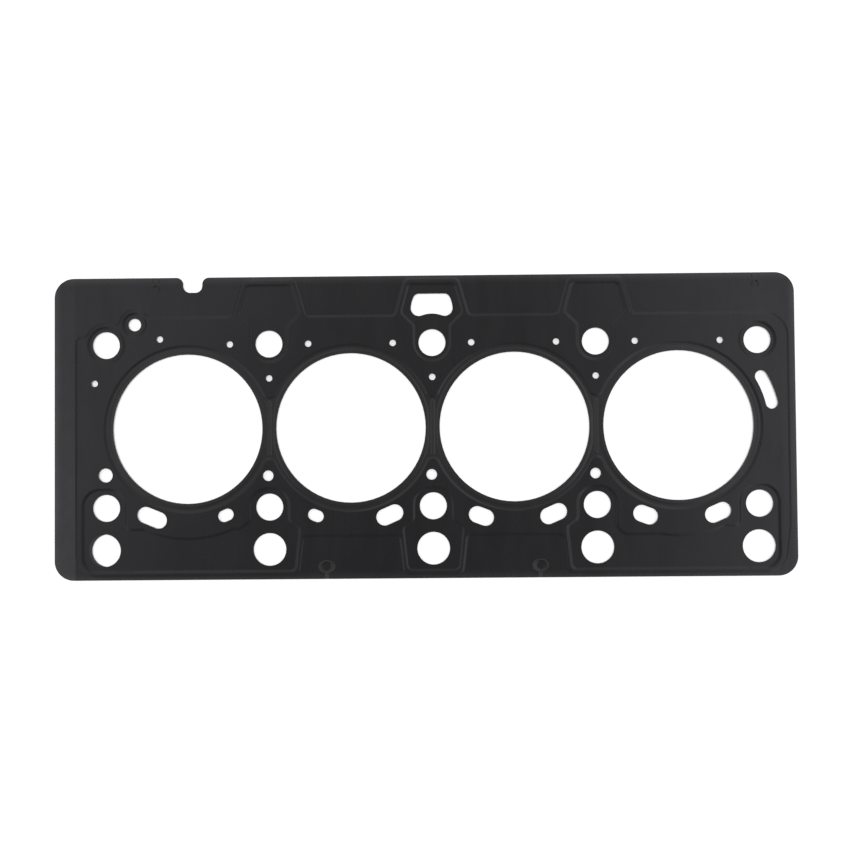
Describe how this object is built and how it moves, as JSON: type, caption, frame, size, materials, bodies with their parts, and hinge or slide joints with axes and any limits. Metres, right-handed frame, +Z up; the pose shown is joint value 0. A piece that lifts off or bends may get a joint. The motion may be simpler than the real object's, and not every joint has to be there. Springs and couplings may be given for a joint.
{
  "type": "cylinder head gasket",
  "caption": "Flat multi-layer steel gasket that seals an inline engine's cylinder head to its block, beaded round the bores and pierced for head bolts, coolant and oil.",
  "frame": {"origin": "middle of the outline, on the underside that rests on the engine block", "axes": "+X along the cylinder row, +Y towards the notched edge, +Z up towards the cylinder head"},
  "size_m": [0.381, 0.1556, 0.0017],
  "materials": {
    "coated_sheet": "satin black elastomer coating",
    "carrier_steel": "plain rolled steel",
    "stopper_steel": "plain stainless steel"
  },
  "bodies": {
    "root": {"top_beaded_layer": "coated_sheet", "carrier_layer": "carrier_steel", "bottom_beaded_layer": "coated_sheet", "stopper_ring_1": "stopper_steel", "stopper_ring_2": "stopper_steel", "stopper_ring_3": "stopper_steel", "stopper_ring_4": "stopper_steel"}
  },
  "joints": []
}
